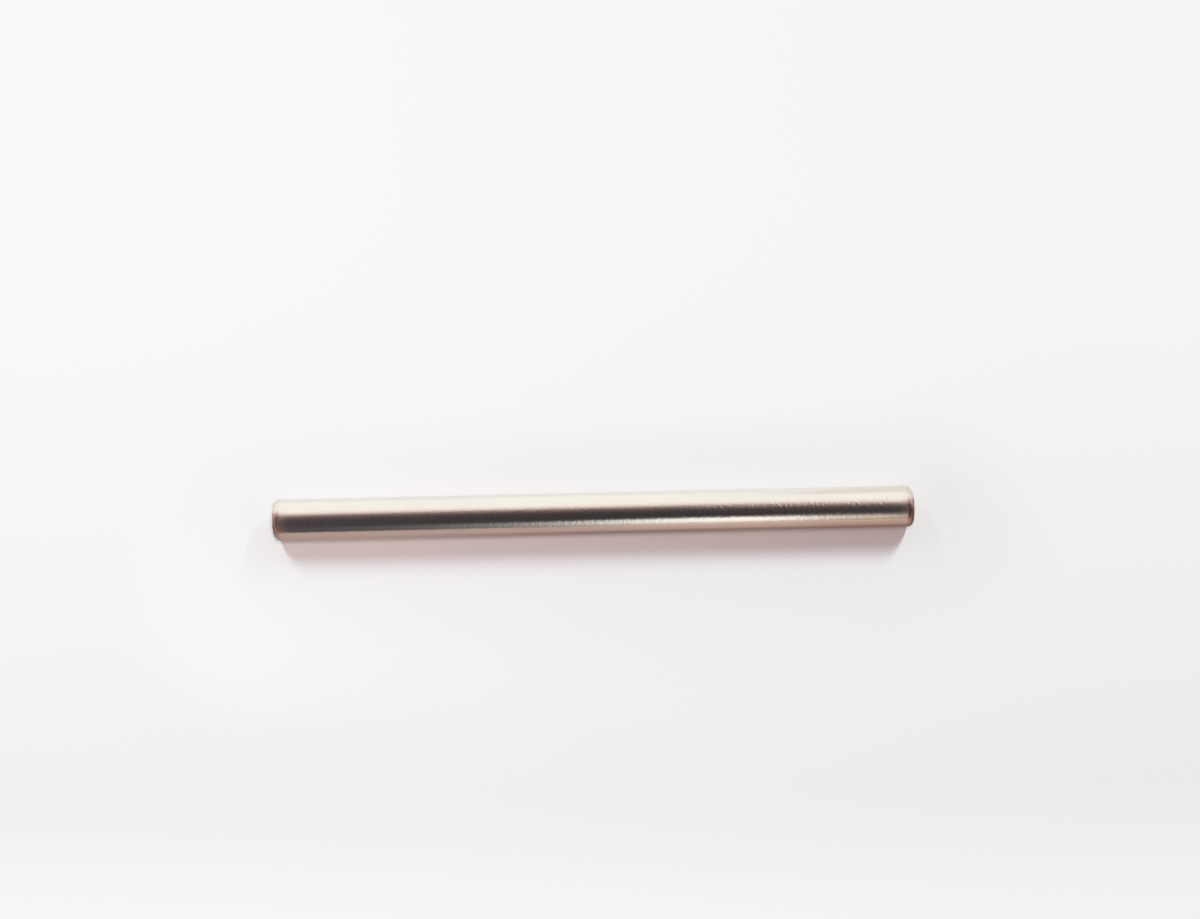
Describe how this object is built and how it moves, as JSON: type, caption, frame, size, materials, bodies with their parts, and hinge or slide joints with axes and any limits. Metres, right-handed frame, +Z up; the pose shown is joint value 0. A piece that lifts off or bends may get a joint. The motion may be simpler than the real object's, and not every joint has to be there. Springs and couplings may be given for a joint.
{
  "type": "float pin",
  "caption": "Plain straight steel pin with tumbled, rounded ends: the shaft that a carburettor float swings on.",
  "frame": {"origin": "on the pin's axis, halfway along it", "axes": "+X along the pin, +Z up; Y and Z are alike, because the pin is round"},
  "size_m": [0.031, 0.002, 0.002],
  "materials": {
    "steel": "bright ground steel with a fine lay round the pin, ends tumbled and faintly browned"
  },
  "bodies": {
    "root": {"float_pin": "steel"}
  },
  "joints": []
}
